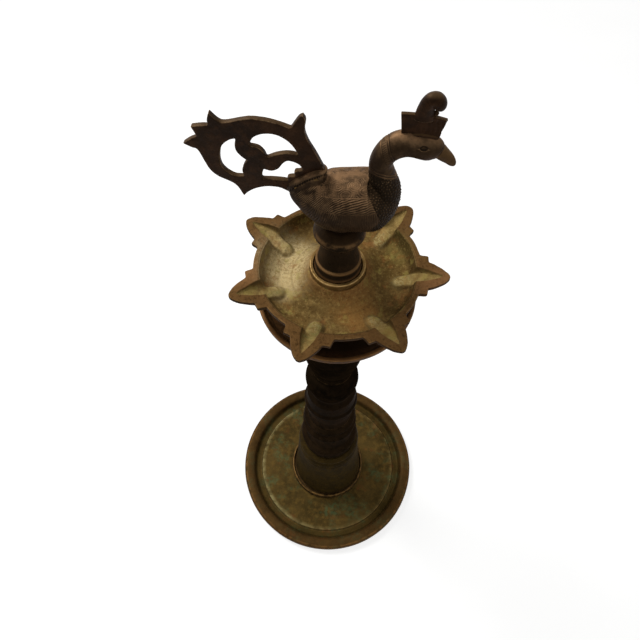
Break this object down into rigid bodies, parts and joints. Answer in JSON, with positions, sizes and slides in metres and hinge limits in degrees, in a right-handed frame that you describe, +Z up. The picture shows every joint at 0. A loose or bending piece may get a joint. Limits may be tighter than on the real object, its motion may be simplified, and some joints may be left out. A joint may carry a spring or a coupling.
{
  "type": "standing oil lamp",
  "caption": "Standing oil lamp in cast bronze: round base dish, turned stem, drip dish, star-shaped dish with wick spouts and a bird finial; its sections unscrew.",
  "frame": {"origin": "centre of the base dish, on the surface that the lamp stands on", "axes": "+Z up along the stem, +X the way that the bird faces, with one spout pointing along +X"},
  "size_m": [0.1794, 0.18, 0.4799],
  "materials": {
    "base_bronze": "cast bronze, dark olive brown with rust-brown patches",
    "stem_bronze": "turned bronze, very dark brown, worn on the rings",
    "drip_bronze": "turned bronze, warm brown",
    "dish_bronze": "cast bronze, golden olive with green patches",
    "bird_bronze": "cast and engraved bronze, dark brown with tan high spots"
  },
  "bodies": {
    "base": {"base_dish": "base_bronze", "base_stud": "stem_bronze"},
    "foot_ring": {"foot_cup": "stem_bronze"},
    "stem": {"stem_foot": "stem_bronze", "stem_shaft": "stem_bronze", "stem_drum": "stem_bronze", "stem_knop": "stem_bronze", "stem_capital": "stem_bronze"},
    "drip_tray": {"drip_dish": "drip_bronze"},
    "oil_dish": {"dish_hub": "dish_bronze", "star_dish": "dish_bronze"},
    "spool": {"finial_spool": "bird_bronze"},
    "bird": {"finial_knob": "bird_bronze", "bird_tang": "bird_bronze", "bird_body": "bird_bronze", "bird_neck_and_head": "bird_bronze", "crest_plate": "bird_bronze", "crest_curl": "bird_bronze", "tail_plate": "bird_bronze", "tail_pin_front": "bird_bronze", "tail_pin_rear": "bird_bronze"}
  },
  "joints": [
    {"name": "stem_lift", "type": "slide", "parent": "base", "child": "foot_ring", "axis": [0, 0, 1], "range_m": [0, 0.009]},
    {"name": "stem_screw", "type": "hinge", "parent": "foot_ring", "child": "stem", "pos_m": [0, 0, 0.0089], "axis": [0, 0, 1], "range_deg": [0, 1080]},
    {"name": "dish_lift", "type": "slide", "parent": "stem", "child": "drip_tray", "axis": [0, 0, 1], "range_m": [0, 0.009]},
    {"name": "dish_screw", "type": "hinge", "parent": "drip_tray", "child": "oil_dish", "pos_m": [0, 0, 0.3286], "axis": [0, 0, 1], "range_deg": [0, 1080]},
    {"name": "bird_lift", "type": "slide", "parent": "oil_dish", "child": "spool", "axis": [0, 0, 1], "range_m": [0, 0.009]},
    {"name": "bird_screw", "type": "hinge", "parent": "spool", "child": "bird", "pos_m": [0, 0, 0.3888], "axis": [0, 0, 1], "range_deg": [0, 1080]}
  ],
  "couplings": [
    {"joint": "stem_lift", "follows": "stem_screw", "m_per_rad": 0.00047746},
    {"joint": "dish_lift", "follows": "dish_screw", "m_per_rad": 0.00047746},
    {"joint": "bird_lift", "follows": "bird_screw", "m_per_rad": 0.00047746}
  ]
}
